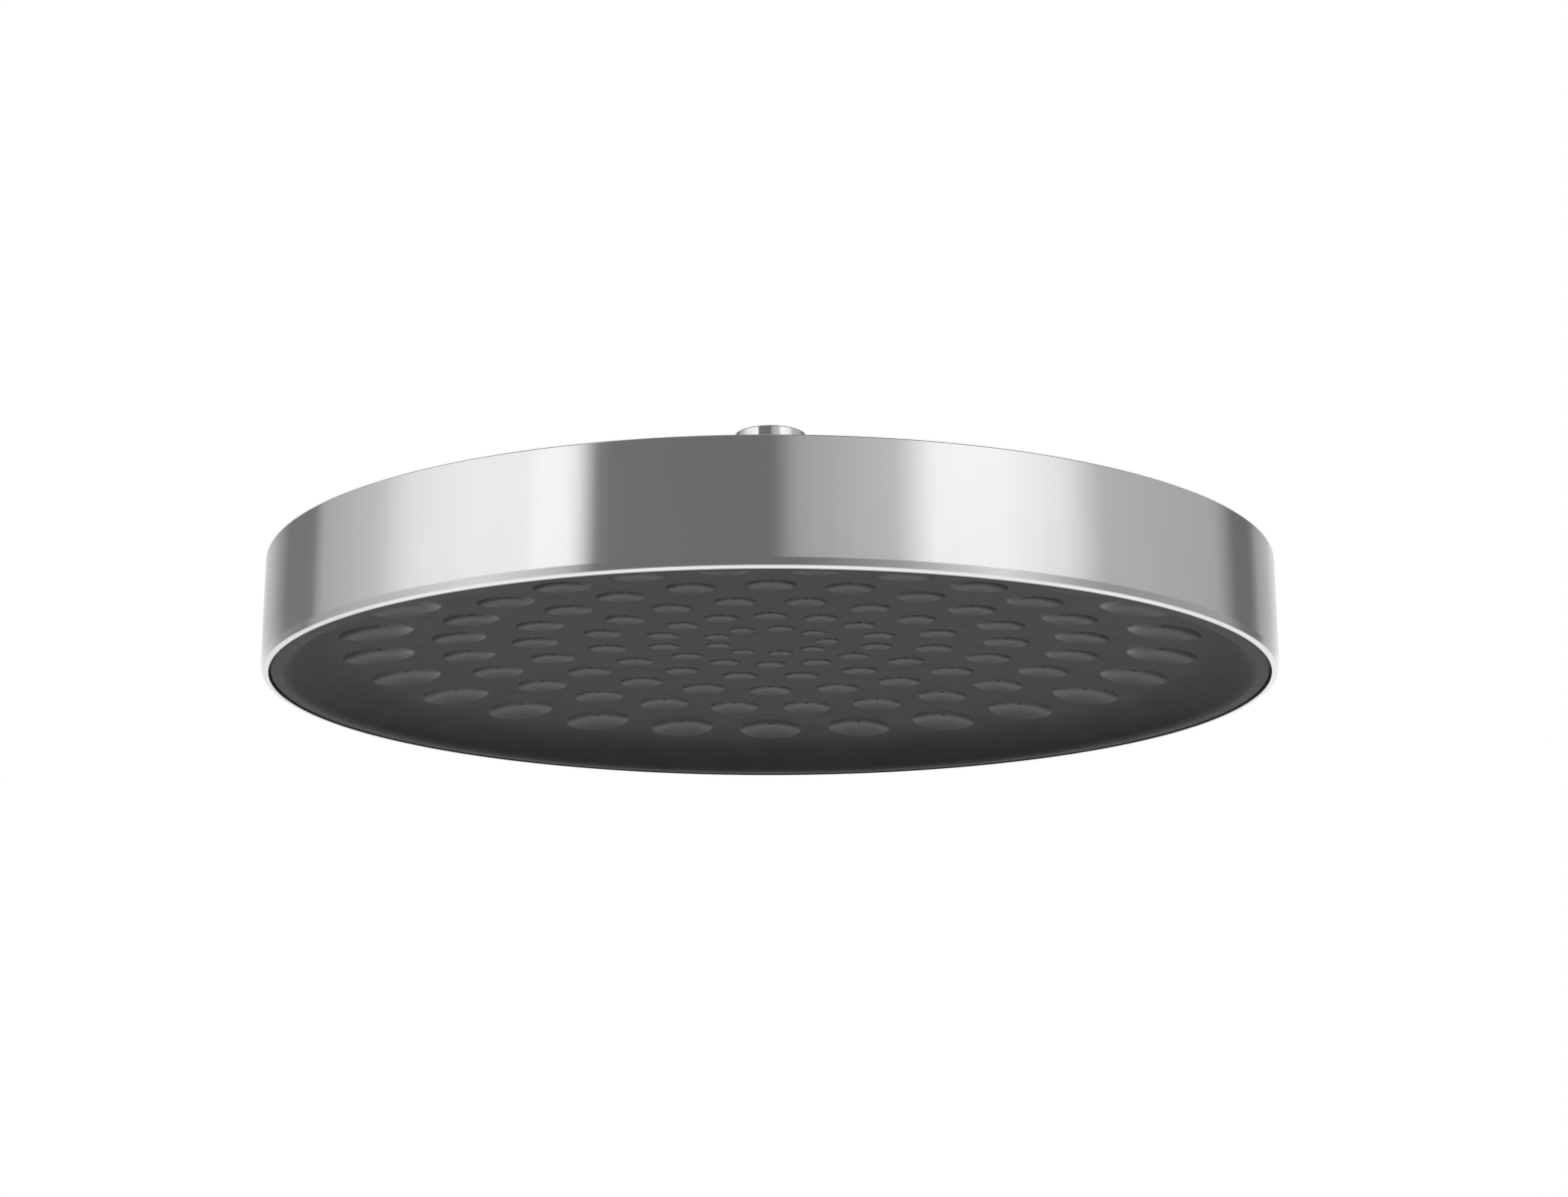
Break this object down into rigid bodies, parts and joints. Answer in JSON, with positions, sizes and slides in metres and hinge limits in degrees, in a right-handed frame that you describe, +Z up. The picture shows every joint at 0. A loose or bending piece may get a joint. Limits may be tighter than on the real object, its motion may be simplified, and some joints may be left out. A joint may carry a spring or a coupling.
{
  "type": "rain shower head",
  "caption": "Round overhead rain shower head: chromed drum, dark dished spray face with dimpled outlets, hung from a ball joint with a threaded inlet.",
  "frame": {"origin": "centre of the inlet collar's top face, where the shower arm screws in", "axes": "+Z up along the inlet's axis and out of its mouth, -Y towards the viewer, +X to the viewer's right"},
  "size_m": [0.35, 0.35, 0.094],
  "materials": {
    "chrome_shell": "satin-polished chrome plate on a moulded drum",
    "dark_face": "matt anthracite moulding",
    "grey_plastic": "matt grey moulding",
    "black_rubber": "matt black rubber",
    "red_rubber": "matt red rubber",
    "steel_screws": "plain stainless steel",
    "bare_brass": "turned brass, unplated",
    "chrome_brass": "polished chrome plate on turned brass",
    "clear_nylon": "natural nylon",
    "white_acetal": "white acetal"
  },
  "bodies": {
    "connector": {"ball_connector": "chrome_brass", "inlet_washer": "black_rubber", "filter_screen": "steel_screws", "flow_regulator": "white_acetal", "regulator_ring": "red_rubber"},
    "slip_ring": {"friction_ring": "white_acetal"},
    "head": {"shell": "chrome_shell", "face_plate": "dark_face", "chamber_plate": "grey_plastic", "chamber_seal": "black_rubber", "chamber_screws": "steel_screws", "inlet_spigot": "bare_brass", "spigot_gasket": "black_rubber", "shell_washer": "clear_nylon", "lock_nut": "bare_brass", "seat_seal": "black_rubber", "union_nut": "chrome_brass"}
  },
  "joints": [
    {"name": "swivel", "type": "hinge", "parent": "connector", "child": "slip_ring", "pos_m": [0, 0, -0.037], "axis": [0, 0, 1], "continuous": true},
    {"name": "tilt", "type": "hinge", "parent": "slip_ring", "child": "head", "pos_m": [0, 0, -0.037], "axis": [1, 0, 0], "range_deg": [-15, 15]}
  ]
}
